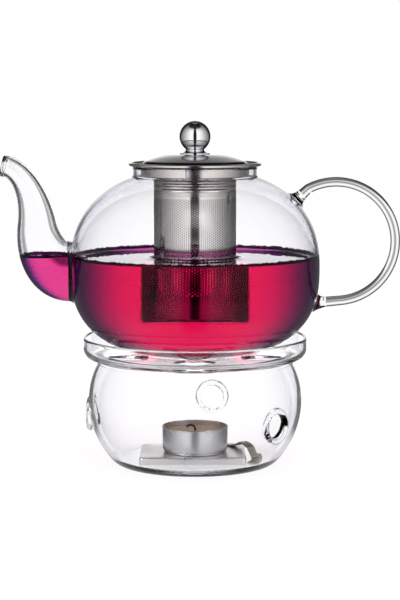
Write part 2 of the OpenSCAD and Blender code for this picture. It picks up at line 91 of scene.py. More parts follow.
def turned(outline, turns=160, closed=False):
    """Points and faces of an outline of [radius, height] spun round the Z axis."""
    points, rings = [], []
    for radius, height in outline:
        if radius < 1e-6:
            rings.append([len(points)] * turns)
            points.append((0, 0, height))
            continue
        rings.append(list(range(len(points), len(points) + turns)))
        angle = 2 * np.pi * np.arange(turns) / turns
        points += list(zip(radius * np.cos(angle), radius * np.sin(angle), [height] * turns))
    faces = []
    pairs = list(zip(rings, rings[1:])) + ([(rings[-1], rings[0])] if closed else [])
    for low, high in pairs:
        for i in range(turns):
            j = (i + 1) % turns
            corners = [low[i], low[j], high[j], high[i]]
            corners = [c for n, c in enumerate(corners) if c != corners[n - 1]]
            if len(corners) > 2:
                faces.append(corners)
    return points, faces


def arc(x, z, rx, rz, start, end, count=12):
    """Points along an ellipse round [x, z] between two angles in degrees."""
    return [(x + rx * math.cos(math.radians(start + (end - start) * i / count)),
             z + rz * math.sin(math.radians(start + (end - start) * i / count)))
            for i in range(count + 1)]


def bend(a, b, c, count=8):
    """Points of a quadratic curve from a to c that leaves towards b."""
    return [tuple((1 - t) ** 2 * a[i] + 2 * t * (1 - t) * b[i] + t ** 2 * c[i] for i in (0, 1))
            for t in (n / count for n in range(count + 1))]


def rounded(corners, radius, count=4):
    """The outline with each corner turned into a small curve, ends left alone."""
    out = [corners[0]]
    for before, here, after in zip(corners, corners[1:], corners[2:]):
        here_v = np.array(here, float)
        steps = [np.array(p, float) - here_v for p in (before, after)]
        reach = min(radius, *(np.linalg.norm(s) * 0.45 for s in steps))
        a, c = (tuple(here_v + s / max(np.linalg.norm(s), 1e-9) * reach) for s in steps)
        out += bend(a, here, c, count)
    return out + [corners[-1]]

# %% [markdown]
# ## Glass is melted, not assembled
# Where a spout is fused to a body, hot glass flows into a soft fillet. A Boolean of two meshes
# would leave a hard crease there, which glass shows at once, because it bends light by its
# surface. So the glass is described by how far each point of space is from its surface. Such
# distances can be joined with a smooth minimum, which is a fillet, and the surface is then
# drawn where the distance is nought.

# %% Distances and how they blend
def blend_in(a, b, soft):
    """The union of two distances, with a fillet about as wide as soft."""
    h = np.clip(0.5 + 0.5 * (b - a) / soft, 0, 1)
    return b * (1 - h) + a * h - soft * h * (1 - h)


def cut_out(a, b, soft):
    """What is in a and not in b, with the edge rounded by soft."""
    return -blend_in(-a, b, soft)


def looked_up(table, u, v):
    """The value of a table u steps along and v steps across, also between its entries."""
    i, j = u.astype(int), v.astype(int)
    u, v = u - i, v - j
    return ((table[i, j] * (1 - u) + table[i + 1, j] * u) * (1 - v)
            + (table[i, j + 1] * (1 - u) + table[i + 1, j + 1] * u) * v)


def outline_table(outline, step=0.25, margin=4.0):
    """A function of radius and height that gives the distance to a closed outline."""
    edge = np.array(outline, float)
    top = edge.max(axis=0) + margin
    low = np.array([0.0, edge[:, 1].min() - margin])
    radii = np.arange(low[0], top[0] + step, step)
    heights = np.arange(low[1], top[1] + step, step)
    r, z = np.meshgrid(radii, heights, indexing="ij")
    nearest = np.full(r.shape, 1e9)
    inside = np.zeros(r.shape, bool)
    for (ax, az), (bx, bz) in zip(edge, np.roll(edge, -1, axis=0)):
        ux, uz = bx - ax, bz - az
        length = ux * ux + uz * uz
        if length < 1e-12:
            continue
        if max(ax, bx) > 1e-6:
            t = np.clip(((r - ax) * ux + (z - az) * uz) / length, 0, 1)
            nearest = np.minimum(nearest, (r - ax - t * ux) ** 2 + (z - az - t * uz) ** 2)
        if az != bz:
            crossed = ((az > z) != (bz > z)) & (r < ax + (z - az) * ux / uz)
            inside ^= crossed
    table = np.where(inside, -1, 1) * np.sqrt(nearest)

    def distance(radius, height):
        u = np.clip((radius - low[0]) / step, 0, table.shape[0] - 1.001)
        v = np.clip((height - low[1]) / step, 0, table.shape[1] - 1.001)
        return looked_up(table, u, v)
    return distance


def tube(path, radii, step=0.4, margin=8.0):
    """A function of x, y and z that gives the distance to a tube bent in the plane y = 0.

    The nearest place on the middle line depends on x and z alone, so a table of that plane
    holds the distance to the line and the radius there, and y is added exactly."""
    path, radii = np.array(path, float), np.array(radii, float)
    low = path.min(axis=0) - radii.max() - margin
    top = path.max(axis=0) + radii.max() + margin
    x, z = np.meshgrid(np.arange(low[0], top[0], step), np.arange(low[1], top[1], step), indexing="ij")
    nearest, size = np.full(x.shape, 1e9), np.zeros(x.shape)
    for (ax, az), (bx, bz), ra, rb in zip(path, path[1:], radii, radii[1:]):
        ux, uz = bx - ax, bz - az
        t = np.clip(((x - ax) * ux + (z - az) * uz) / (ux * ux + uz * uz), 0, 1)
        gap = np.hypot(x - ax - t * ux, z - az - t * uz)
        closer = gap < nearest
        nearest[closer], size[closer] = gap[closer], (ra + (rb - ra) * t)[closer]

    def distance(x, y, z):
        u, v = (x - low[0]) / step, (z - low[1]) / step
        near = (u > 0) & (v > 0) & (u < nearest.shape[0] - 1.01) & (v < nearest.shape[1] - 1.01)
        near &= np.abs(y) < radii.max() + margin
        gap, radius = (looked_up(table, u[near], v[near]) for table in (nearest, size))
        out = np.full(x.shape, 30.0)
        out[near] = np.minimum(np.hypot(gap, y[near]) - radius, 30.0)
        return out
    return distance

# %% [markdown]
# ## Drawing the surface of a distance
# Blender's Volume to Mesh node can do this for a stored grid, but a formula is sharper than a
# grid. So one point is put in each small cube that the surface passes through, the points of
# neighbouring cubes are joined by quads, and then every point is pushed exactly onto the
# surface. The shading normals come from the formula too, so that reflections run smoothly.
# How tightly the surface bulges is noted on each point as the attribute "slender", because the
# glass of a rod or a lip needs another look than that of a wide wall.

# %% Skin a distance with quads
def skin(name, field, low, top, pitch):
    """A smooth mesh object on the surface where field(x, y, z) is nought, in millimetres."""
    low, top = np.array(low, float), np.array(top, float)
    counts = np.ceil((top - low) / pitch).astype(int) + 1
    axes = [low[n] + pitch * np.arange(counts[n]) for n in range(3)]
    value = field(*np.meshgrid(*axes, indexing="ij"))
    inside = value < 0
    cells = counts - 1
    corners = [(a, b, c) for a in (0, 1) for b in (0, 1) for c in (0, 1)]
    total = sum(inside[tuple(slice(o[n], o[n] + cells[n]) for n in range(3))].astype(np.int8)
                for o in corners)
    mixed = (total > 0) & (total < 8)
    index = np.full(mixed.shape, -1, np.int32)
    index[mixed] = np.arange(mixed.sum())
    cell = np.stack(np.nonzero(mixed), axis=-1)
    place, hits = np.zeros(cell.shape), np.zeros(len(cell))
    for axis in range(3):
        for offset in corners:
            if offset[axis]:
                continue
            start = cell + offset
            end = start.copy()
            end[:, axis] += 1
            a, b = value[tuple(start.T)], value[tuple(end.T)]
            crossed = (a < 0) != (b < 0)
            share = np.where(crossed, a / np.where(crossed, a - b, 1), 0)
            spot = start.astype(float)
            spot[:, axis] += share
            place += spot * crossed[:, None]
            hits += crossed
    points = low + pitch * place / hits[:, None]
    quads = []
    for axis in range(3):
        u, v = (axis + 1) % 3, (axis + 2) % 3
        first = np.take(inside, range(counts[axis] - 1), axis=axis)
        second = np.take(inside, range(1, counts[axis]), axis=axis)
        edge = np.stack(np.nonzero(first != second), axis=-1)
        edge = edge[(edge[:, u] > 0) & (edge[:, v] > 0)
                    & (edge[:, u] < cells[u]) & (edge[:, v] < cells[v])]
        out = first[tuple(edge.T)]
        ring = []
        for du, dv in ((1, 1), (0, 1), (0, 0), (1, 0)):
            spot = edge.copy()
            spot[:, u] -= du
            spot[:, v] -= dv
            ring.append(index[tuple(spot.T)])
        ring = np.stack(ring, axis=-1)
        quads.append(np.where(out[:, None], ring, ring[:, ::-1]))
    quads = np.concatenate(quads)
    for _ in range(2):
        points = settle(relaxed(points, quads), field, pitch, 1)
    points = settle(points, field, pitch, 3)
    return quad_object(name, points, quads, slope(points, field), tightness(points, field))

# %% Even out the quads and set them on the surface
def tightness(points, field, step=0.6):
    """How sharply the surface bulges at each point: one over a radius in millimetres."""
    total = -6 * field(*points.T)
    for axis in range(3):
        shift = np.zeros(3)
        shift[axis] = step
        total += field(*(points + shift).T) + field(*(points - shift).T)
    return np.clip(total, 0, None) / step ** 2


def slope(points, field, step=0.25):
    """The direction in which the distance grows, at each point."""
    out = np.empty(points.shape)
    for axis in range(3):
        shift = np.zeros(3)
        shift[axis] = step
        out[:, axis] = (field(*(points + shift).T) - field(*(points - shift).T)) / (2 * step)
    return out


def settle(points, field, pitch, rounds):
    """Moves each point onto the surface, by no more than half a cube a round."""
    for _ in range(rounds):
        grow = slope(points, field)
        size = np.maximum((grow ** 2).sum(axis=1), 0.05)
        move = -grow * (field(*points.T) / size)[:, None]
        far = np.linalg.norm(move, axis=1, keepdims=True)
        points = points + move * np.minimum(1, 0.5 * pitch / np.maximum(far, 1e-9))
    return points


def relaxed(points, quads):
    """Each point moved half way to the middle of its neighbours, which evens out the quads."""
    total, count = np.zeros(points.shape), np.zeros(len(points))
    for n in range(4):
        a, b = quads[:, n], quads[:, (n + 1) % 4]
        for here, there in ((a, b), (b, a)):
            count += np.bincount(here, minlength=len(points))
            for axis in range(3):
                total[:, axis] += np.bincount(here, points[there, axis], len(points))
    return 0.5 * points + 0.5 * total / np.maximum(count, 1)[:, None]

# %% The mesh object, with a note of its slender parts
SLENDER_FROM, SLENDER_SPAN = 0.05, 0.25


def quad_object(name, points, quads, normals, bulges):
    """A smooth mesh object of quads, with its own shading normals and a note of how it bulges."""
    mesh = bpy.data.meshes.new(name)
    mesh.vertices.add(len(points))
    mesh.vertices.foreach_set("co", (points * MM).ravel())
    mesh.loops.add(4 * len(quads))
    mesh.loops.foreach_set("vertex_index", quads.ravel())
    mesh.polygons.add(len(quads))
    mesh.polygons.foreach_set("loop_start", 4 * np.arange(len(quads)))
    mesh.update(calc_edges=True)
    mesh.polygons.foreach_set("use_smooth", [True] * len(quads))
    normals = normals / np.maximum(np.linalg.norm(normals, axis=1, keepdims=True), 1e-9)
    mesh.normals_split_custom_set_from_vertices(normals.tolist())
    mesh.attributes.new("slender", "FLOAT", "POINT").data.foreach_set(
        "value", np.clip((bulges - SLENDER_FROM) / SLENDER_SPAN, 0, 1))
    piece = bpy.data.objects.new(name, mesh)
    bpy.context.scene.collection.objects.link(piece)
    print(f"{name}: {len(points)} points, {len(quads)} quads")
    return piece


PITCH = 0.85
print("pitch of the glass surface in mm:", PITCH)

# %% [markdown]
# ## The blown pot
# The body is blown in a mould, the spout and the handle are drawn separately and fused on with
# a torch. The whole is one piece of glass, so it is one mesh here: the body, the spout and the
# handle rod are added with a fillet, and the hollow of the body and the bore of the spout are
# taken out of them.

# %% The body's outline, outside and inside
def pot_outline(skin_t, lift, count=110):
    """The curve from the base to the neck, drawn in by skin_t, in millimetres above the base."""
    r, low, up = POT_R - skin_t, POT_LOW - skin_t, POT_UP - skin_t
    low_a = math.asin(((POT_MID - lift) / low) ** (LOW_POWER / 2))
    up_a = math.acos(((NECK_R - skin_t) / r) ** (UP_POWER / 2))
    curve = []
    for i in range(-count, count + 1):
        a = (low_a if i < 0 else up_a) * abs(i) / count
        power = LOW_POWER if i < 0 else UP_POWER
        curve.append((r * math.cos(a) ** (2 / power),
                      POT_MID + (-low if i < 0 else up) * math.sin(a) ** (2 / power)))
    return curve


def pot_radius(height):
    """The radius of the pot's outside at a height above its base."""
    rise = height - POT_MID
    half, power = (POT_LOW, LOW_POWER) if rise < 0 else (POT_UP, UP_POWER)
    return POT_R * (1 - (abs(rise) / half) ** power) ** (1 / power)


pot_outside = outline_table([(0, 0)] + pot_outline(0, 0)
                            + [(NECK_R, POT_H - 0.8), (NECK_R - 0.4, POT_H), (0, POT_H)])
pot_inside = outline_table([(0, POT_FLOOR)] + pot_outline(POT_WALL, POT_FLOOR)
                           + [(NECK_R - POT_WALL, POT_H + 3), (0, POT_H + 3)])
print("body radius half way up the shoulder:", round(pot_radius(80), 1))

# %% The spout's middle line
ROOT_R, TIP_R, SPOUT_WALL = 17.6, 6.0, 1.7
ROOT_H, STAND, BEND_H, REACH, TIP_H = 48.0, 91.7, 74.5, 112.0, 110.0


def mix(a, b, share):
    return a + (b - a) * share


def cubic(p, t):
    """A point of a cubic curve with the four handles p."""
    p = np.array(p, float)
    return (1 - t) ** 3 * p[0] + 3 * t * (1 - t) ** 2 * p[1] + 3 * t * t * (1 - t) * p[2] + t ** 3 * p[3]


SPOUT_LOW = [(-POT_R, ROOT_H), (-mix(POT_R, STAND, 0.48), ROOT_H),
             (-STAND + 1.2, mix(ROOT_H, BEND_H, 0.4)), (-STAND, BEND_H)]
SPOUT_HIGH = [(-STAND, BEND_H), (-STAND - 0.9, mix(BEND_H, TIP_H, 0.48)),
              (-mix(STAND, REACH, 0.4), TIP_H - 2), (-REACH, TIP_H)]
shares = np.linspace(0, 1, 201)
spout_line = np.array([cubic(SPOUT_LOW, 2 * t) if t < 0.5 else cubic(SPOUT_HIGH, 2 * t - 1)
                       for t in shares])
spout_line[:, 1] += POT_Z
spout_radii = TIP_R + (ROOT_R - TIP_R) * (1 + np.cos(np.pi * shares)) / 2
mouth = spout_line[-1]
out_of_mouth = (spout_line[-1] - spout_line[-5]) / np.linalg.norm(spout_line[-1] - spout_line[-5])
print("spout's mouth at", mouth.round(1), "facing", out_of_mouth.round(2))

# %% The spout, outside and bore
def extended(path, radii, start, end):
    """The path with a straight stretch of the same radius put before it and after it."""
    return (np.concatenate([[start], path, [end]]), np.concatenate([radii[:1], radii, radii[-1:]]))


spout_outside = tube(*extended(spout_line, spout_radii, (-POT_R + 3, POT_Z + ROOT_H),
                               mouth + 3 * out_of_mouth))
spout_bore = tube(*extended(spout_line, spout_radii - SPOUT_WALL, (-POT_R + 16, POT_Z + ROOT_H),
                            mouth + 6 * out_of_mouth))
LIP_R, LIP_BEAD = 5.35, 1.15


def mouth_bead(x, y, z):
    """The fire-polished ring of glass round the mouth, thicker below, where it sheds drops."""
    middle = mouth - 1.25 * out_of_mouth
    dx, dz = x - middle[0], z - middle[1]
    along = dx * out_of_mouth[0] + dz * out_of_mouth[1]
    rise = dx * out_of_mouth[1] - dz * out_of_mouth[0]
    return np.hypot(np.hypot(rise, y) - LIP_R, along) - LIP_BEAD - 0.25 * np.clip(-rise / LIP_R, 0, 1)


def spout_skin(x, y, z):
    beyond = (x - mouth[0]) * out_of_mouth[0] + (z - mouth[1]) * out_of_mouth[1]
    return blend_in(cut_out(spout_outside(x, y, z), -beyond, 0.8), mouth_bead(x, y, z), 0.8)

# %% The handle's rod
ROD_R, GOB_R, BOW_R, BOW_X, BOW_H = 2.85, 4.6, 34.7, 82.0, 65.5
bow = arc(BOW_X, BOW_H, BOW_R, BOW_R, 118, -84, 200)
top_end = (pot_radius(bow[0][1] - 7) - 1, bow[0][1] - 7)
low_end = (pot_radius(bow[-1][1] - 1.5) - 1, bow[-1][1] - 1.5)
rod = [top_end, tuple((np.array(top_end) + bow[0]) / 2)] + bow
rod += [tuple(mix(np.array(bow[-1]), np.array(low_end), 0.6)), low_end]
rod = np.array(rod)
walked = np.concatenate([[0], np.cumsum(np.linalg.norm(np.diff(rod, axis=0), axis=1))])
from_end = np.minimum(walked, walked[-1] - walked)
rod_radii = ROD_R + (GOB_R - ROD_R) * np.clip(1 - from_end / 9, 0, 1) ** 2
handle_rod = tube(rod + [0, POT_Z], rod_radii)
print("handle rod is", round(walked[-1]), "mm long")

# %% The pot as one piece of glass
def pot_hollow(x, y, z):
    """Distance to the room inside the pot, the bore of the spout included."""
    return blend_in(pot_inside(np.hypot(x, y), z - POT_Z), spout_bore(x, y, z), 3.0)


def pot_distance(x, y, z):
    body = pot_outside(np.hypot(x, y), z - POT_Z)
    outside = blend_in(blend_in(body, spout_skin(x, y, z), 3.0), handle_rod(x, y, z), 3.0)
    return cut_out(outside, pot_hollow(x, y, z), 0.7)


pot_glass = skin("pot_glass", pot_distance, (-115, -75, POT_Z - 1), (121, 75, NECK_TOP + 6), PITCH)
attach(pot_glass, "pot")
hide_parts(*[n for n in nodes if n.startswith("pot_")], "spout", "handle")

# %% [markdown]
# ## The tea
# Liquid in a glass creeps up the wall, so its surface has a small curved edge, and that edge
# is what the eye reads as liquid. The same hollow that was cut from the pot gives its shape.
# It is made a hair too large, so that it reaches into the glass and no film of air is left
# between them. The basket stands in it, and the tea is inside the basket too.

# %% The tea
WALL_CREEP, BASKET_CREEP, INTO_GLASS = (3.1, 2.0), (1.6, 1.7), 0.25


def crept(distance, creep):
    """How far the tea stands above its level at a distance from a wall."""
    height, reach = creep
    return height * np.exp(-distance / reach)


def tea_distance(x, y, z):
    hollow = pot_hollow(x, y, z)
    to_wall, to_basket = np.clip(-hollow, 0, 30), np.abs(np.hypot(x, y) - BASKET_R + STEEL / 2)
    level = TEA_Z + crept(to_wall, WALL_CREEP) + crept(to_basket, BASKET_CREEP)
    return -blend_in(-(hollow - INTO_GLASS), level - z, 0.3)


tea = skin("tea_liquid", tea_distance, (-115, -73, POT_Z + 1), (73, 73, TEA_Z + 4), PITCH)
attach(tea, "pot")
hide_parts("tea")

# %% [markdown]
# ## The warmer
# The warmer is blown like the pot: a round bowl with a dish fused on top, in which the pot
# stands. Its air holes are pierced while the glass is hot, which leaves a bead round each one
# in the wall, and rounded edges on those in the dish. The same two tools, fillets and rounded
# cuts, give all of these.

# %% The bowl's and the dish's outlines
def bowl_outline():
    """The bowl's wall and floor as one closed outline."""
    neck_a = math.degrees(math.acos(BOWL_NECK / BOWL_R))
    in_neck_a = math.degrees(math.acos((BOWL_NECK - BOWL_WALL) / (BOWL_R - BOWL_WALL)))
    low_a = math.degrees(math.asin((BOWL_MID - 4) / BOWL_LOW))
    in_low_a = math.degrees(math.asin((BOWL_MID - 4 - BOWL_FLOOR) / (BOWL_LOW - BOWL_WALL)))
    outer = (arc(0, BOWL_MID, BOWL_R, BOWL_LOW, -low_a, 0, 60)
             + arc(0, BOWL_MID, BOWL_R, BOWL_UP, 1, neck_a, 30))
    inner = (arc(0, BOWL_MID, BOWL_R - BOWL_WALL, BOWL_UP - 1, in_neck_a, 1, 30)
             + arc(0, BOWL_MID, BOWL_R - BOWL_WALL, BOWL_LOW - BOWL_WALL, 0, -in_low_a, 60))
    foot, corner = outer[0], inner[-1]
    return ([(0, 0)] + bend((BASE_R, 0), (mix(BASE_R, foot[0], 0.6), 0), foot) + outer
            + [(BOWL_NECK, DISH_Z + 0.5), (BOWL_NECK - BOWL_WALL, DISH_Z + 0.5)] + inner
            + bend(corner, (mix(BASE_R, corner[0], 0.6), BOWL_FLOOR), (BASE_R - 1, BOWL_FLOOR))
            + [(0, BOWL_FLOOR)])


def dish_outline():
    """The dish's floor, its round corner and its lip, as one closed outline."""
    corner_w, corner_h = 5.5, 6.5
    corner = DISH_R - corner_w
    ring = ([(DISH_HOLE - 4, 0)] + arc(corner, corner_h, corner_w, corner_h, -90, 0, 24)
            + arc(DISH_R - 1, DISH_H - 1, 1, 1, 0, 180, 8)
            + arc(corner, corner_h, corner_w - DISH_WALL, corner_h - DISH_FLOOR, 0, -90, 24)
            + [(DISH_HOLE - 4, DISH_FLOOR)])
    return [(r, z + DISH_Z) for r, z in ring]


bowl_wall = outline_table(bowl_outline())
dish_wall = outline_table(dish_outline())

# %% The warmer as one piece of glass
def warmer_distance(x, y, z):
    radius = np.hypot(x, y)
    dish = cut_out(dish_wall(radius, z), radius - DISH_HOLE, 0.9)
    for azimuth in range(-90, 270, 60):
        a = math.radians(azimuth)
        hole = np.hypot(x - DISH_RING * math.cos(a), y - DISH_RING * math.sin(a)) - DISH_VENT
        dish = cut_out(dish, hole, 0.9)
    glass = blend_in(bowl_wall(radius, z), dish, 1.5)
    wall_r = BOWL_R * math.sqrt(1 - ((VENT_Z - BOWL_MID) / BOWL_LOW) ** 2) + 0.2 * VENT_BEAD
    for azimuth in VENT_AZIMUTHS:
        ux, uy = math.sin(math.radians(azimuth)), -math.cos(math.radians(azimuth))
        out, side = x * ux + y * uy, y * ux - x * uy
        across = np.hypot(side, z - VENT_Z)
        bead = np.hypot(across - VENT_R - VENT_BEAD, out - wall_r) - VENT_BEAD
        glass = blend_in(glass, bead, 1.0)
        glass = cut_out(glass, np.where(out > 30, across - VENT_R, 20.0), 0.6)
    return glass


warmer_glass = skin("warmer_glass", warmer_distance, (-67, -67, -1), (67, 67, DISH_Z + DISH_H + 1),
                    PITCH)
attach(warmer_glass, "warmer")
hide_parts(*[n for n in nodes if n.startswith("warmer_")], "vent_rings")

# %% [markdown]
# ## The perforated basket
# The basket is rolled from stainless sheet with thousands of fine holes in staggered rows. A
# bump map would look like holes only from far away, and here light passes through them, so
# they are cut in the mesh. Each hole sits in a six-sided cell, the cells share their corners,
# and the sheet has an outer skin, an inner skin and a wall in each hole.

# %% A sheet with staggered holes, rolled into a tube
def perforated_tube(name, radius, thickness, low, high, columns, pitch, hole_r):
    """A tube of sheet with a round hole in each six-sided cell, in millimetres."""
    column_w = 2 * np.pi * radius / columns
    rows = int((high - low - pitch) / pitch)
    start = (low + high) / 2 - pitch * (rows - 0.5) / 2
    turn = np.radians(60 * np.arange(6))
    corner_u, corner_v = np.cos(turn) * column_w * 2 / 3, np.sin(turn) * pitch / math.sqrt(3)
    hole_u, hole_v = hole_r * np.cos(turn), hole_r * np.sin(turn)
    i, j = np.meshgrid(np.arange(columns), np.arange(-1, rows + 1), indexing="ij")
    i, j = i.ravel(), j.ravel()
    u, v = i * column_w, start + pitch * (j + 0.5 * (i % 2))
    open_cell = (v - hole_r > low + 0.8) & (v + hole_r < high - 0.8)
    cu = (u[:, None] + corner_u) % (columns * column_w)
    cv = np.clip(v[:, None] + corner_v, low, high)
    key = np.stack([np.round(cu / (column_w / 6)).astype(int) % (columns * 6),
                    np.round(cv * 1000).astype(int)], axis=-1).reshape(-1, 2)
    unique, first, back = np.unique(key, axis=0, return_index=True, return_inverse=True)
    cell = back.reshape(-1, 6)
    corner_uv = np.column_stack([cu.ravel()[first], cv.ravel()[first]])
    hole_uv = np.stack([u[open_cell, None] + hole_u, v[open_cell, None] + hole_v], axis=-1).reshape(-1, 2)
    uv = np.concatenate([corner_uv, hole_uv])
    total = len(uv)
    angle = uv[:, 0] / radius
    points = np.concatenate([np.column_stack([r * np.cos(angle), r * np.sin(angle), uv[:, 1]])
                             for r in (radius, radius - thickness)])
    rim = len(corner_uv) + np.arange(open_cell.sum() * 6).reshape(-1, 6)
    faces = []
    outer = cell[open_cell]
    for n in range(6):
        m = (n + 1) % 6
        quad = np.stack([outer[:, n], outer[:, m], rim[:, m], rim[:, n]], axis=-1)
        bore = np.stack([rim[:, n], rim[:, m], rim[:, m] + total, rim[:, n] + total], axis=-1)
        faces += [quad, quad[:, ::-1] + total, bore]
    faces = np.concatenate(faces).tolist()
    for corners in cell[~open_cell].tolist():
        heights = uv[corners, 1]
        if np.ptp(heights) < 1e-6:
            continue
        faces += [corners, [c + total for c in corners[::-1]]]
        for a, b in zip(corners, corners[1:] + corners[:1]):
            if uv[a, 1] == uv[b, 1] and (uv[a, 1] <= low or uv[a, 1] >= high):
                faces.append([b, a, a + total, b + total])
    return make_mesh(name, points, faces), int(open_cell.sum())


SHEET_T, HOLES_ROUND, HOLE_PITCH, HOLE_R = 0.45, 124, 1.4, 0.44
basket, holes = perforated_tube("basket_sheet", BASKET_R, SHEET_T, BASKET_Z + CAP_H, THROAT_Z,
                                HOLES_ROUND, HOLE_PITCH, HOLE_R)
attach(basket, "infuser")
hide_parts("infuser_mesh")
print("holes in the basket:", holes)

# %% [markdown]
# ## The tealight and its tray
# The tealight is a cup drawn from thin aluminium, with a rolled rim, a small step at the foot
# and the faint upright folds that drawing leaves. The wax has been lit once: it has a dish in
# its surface, a rim against the foil, and a charred, curled wick. The tray is a folded pan.

# %% The aluminium cup
def cup_outline():
    """The cup's sheet from the middle of its bottom, out, up, over the rim and back inside."""
    t, roll = 0.3, 0.42
    outside = rounded([(0, 0.1), (18.0, 0.1), (18.5, 0.7), (18.5, 1.3), (19.15, 2.0),
                       (CUP_R, CUP_H - 1.0)], 0.5)
    rim = arc(CUP_R, CUP_H - roll, roll, roll, -100, 180, 10)
    inside = rounded([(CUP_R - t, CUP_H - roll), (19.15 - t, 2.1), (18.5 - t, 1.5), (18.5 - t, 0.5),
                      (0, 0.45)], 0.4)
    return [(r, z + CUP_Z) for r, z in outside + rim + inside]


points, faces = turned(cup_outline(), turns=240)
points = np.array(points, float)
around, height = np.arctan2(points[:, 1], points[:, 0]), (points[:, 2] - CUP_Z) / CUP_H
folds = (np.sin(19 * around + 1) + 0.8 * np.sin(31 * around) + 0.6 * np.sin(47 * around + 2)) / 2.4
shape = np.clip(height * (1.05 - height) * 4, 0, 1) * (np.hypot(points[:, 0], points[:, 1]) > 18)
points[:, :2] *= (1 - 0.0022 * (1 + folds) * shape)[:, None]
cup = make_mesh("tealight_cup", points, faces)
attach(cup, "tealight")
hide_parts("candle_cup")

# %% The wax
wax_r = CUP_R - 0.55
wax_outline = ([(0, CUP_Z + 0.5), (17.6, CUP_Z + 0.5), (17.9, CUP_Z + 2.2), (wax_r, CUP_Z + 3)]
               + [(wax_r, WAX_Z + 0.3)]
               + [(wax_r - 0.4 * k, WAX_Z + 0.35 * math.exp(-0.5 * k) - 0.25) for k in range(1, 8)]
               + [(12, WAX_Z - 0.3), (7, WAX_Z - 0.45), (3, WAX_Z - 0.5), (1.3, WAX_Z - 0.25),
                  (0.8, WAX_Z - 0.1), (0, WAX_Z - 0.1)])
points, faces = turned(wax_outline, turns=96)
wax = make_mesh("tealight_wax", points, faces)
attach(wax, "tealight")
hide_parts("candle_wax")

# %% The wick
def rope(name, path, radius, sides=10, strands=3, twist=2.4):
    """A bent cord with the bulges of its strands running round it."""
    path = np.array(path, float)
    points, faces = [], []
    for k, middle in enumerate(path):
        ahead = path[min(k + 1, len(path) - 1)] - path[max(k - 1, 0)]
        ahead /= np.linalg.norm(ahead)
        side = np.array([0.0, 1.0, 0.0])
        up = np.cross(ahead, side)
        for n in range(sides):
            a = 2 * math.pi * n / sides
            swell = radius * (0.86 + 0.14 * abs(math.sin(strands * a / 2 + twist * k)))
            points.append(middle + swell * (math.cos(a) * side + math.sin(a) * up))
    for k in range(len(path) - 1):
        for n in range(sides):
            a, b = k * sides + n, k * sides + (n + 1) % sides
            faces.append([a, b, b + sides, a + sides])
    faces += [list(range(sides))[::-1], [len(points) - sides + n for n in range(sides)]]
    return make_mesh(name, points, faces)


CURL_R = 2.6
stem = [(0, 0, WAX_Z - 6 + 0.5 * k) for k in range(14)]
curl = [(-CURL_R + CURL_R * math.cos(a), 0, WAX_Z + 0.8 + CURL_R * math.sin(a))
        for a in np.radians(np.linspace(0, 150, 22))]
wick = rope("wick_cord", [p for p in stem if p[2] < WAX_Z + 0.6] + curl, 0.68)
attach(wick, "tealight")
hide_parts("candle_wick")

# %% The folded tray
TRAY_L, TRAY_W, TRAY_H, TRAY_X, TRAY_T = 62.0, 42.0, 4.2, -1.3, 0.6


def pan_ring(inset, height, corner=2.2, steps=5):
    """A rectangle with round corners, drawn in by inset."""
    a, b, r = TRAY_L / 2 - inset, TRAY_W / 2 - inset, max(corner - inset, 0.4)
    ring = []
    for n, (sx, sy) in enumerate(((1, 1), (-1, 1), (-1, -1), (1, -1))):
        for k in range(steps + 1):
            angle = math.radians(90 * (n + k / steps))
            ring.append((TRAY_X + sx * (a - r) + r * math.cos(angle), sy * (b - r) + r * math.sin(angle),
                         BOWL_FLOOR + height))
    return ring


fold = 1.3
profile = ([(0.05, 0.02), (0, 0.3), (0, TRAY_H - fold)]
           + [(fold - x, z) for x, z in arc(0, TRAY_H - fold, fold, fold, 15, 90, 6)]
           + [(5, TRAY_H - 0.02)])
under = [(5, TRAY_H - TRAY_T), (fold, TRAY_H - TRAY_T), (TRAY_T + 0.2, TRAY_H - TRAY_T - 0.25),
         (TRAY_T, TRAY_H - fold), (TRAY_T, 0.3), (TRAY_T - 0.1, 0.02)]
rings = [pan_ring(*p) for p in profile + under]
count = len(rings[0])
points = [p for ring in rings for p in ring]
split = len(profile)
faces = []
for k in range(len(rings)):
    if k == split - 1:
        continue
    a, b = k * count, ((k + 1) % len(rings)) * count
    faces += [[a + n, a + (n + 1) % count, b + (n + 1) % count, b + n] for n in range(count)]
faces += [[(split - 1) * count + n for n in range(count)],
          [split * count + n for n in range(count)][::-1]]
tray = make_mesh("tray_pan", points, faces)
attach(tray, "tray")
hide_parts("candle_tray")

# %% [markdown]
# ## Finishes
# Every finish is a small tree of nodes, and a tree that is written out node by node is hard to
# read. So each helper below adds one node, joins its sockets and hands back what comes out of
# it. Uniform numbers such as the bending of light are set on the shader itself, and only what
# changes over the surface comes from other nodes.

# %% Helpers for all node trees
def put(tree, kind, inputs=None, **settings):
    """Adds a node. Each input is a plain value or another node's output."""
    node = tree.nodes.new("ShaderNode" + kind)
    for name, value in settings.items():
        setattr(node, name, value)
    for name, value in (inputs or {}).items():
        if isinstance(value, bpy.types.NodeSocket):
            tree.links.new(value, node.inputs[name])
        else:
            node.inputs[name].default_value = value
    return node


def reckon(tree, operation, *values, clamp=False):
    """One step of arithmetic with numbers."""
    return put(tree, "Math", dict(enumerate(values)), operation=operation, use_clamp=clamp).outputs[0]


def reckon_way(tree, operation, *values):
    """One step of arithmetic with places, directions or colours."""
    names = (0, "Scale") if operation == "SCALE" else (0, 1)
    node = put(tree, "VectorMath", dict(zip(names, values)), operation=operation)
    return node.outputs["Value" if operation in ("DOT_PRODUCT", "LENGTH") else "Vector"]


def eased(tree, value, start, end, low=0.0, high=1.0):
    """low where the value is at start, high where it is at end, and even steps between."""
    return put(tree, "MapRange", {"Value": value, "From Min": start, "From Max": end,
                                  "To Min": low, "To Max": high}).outputs[0]


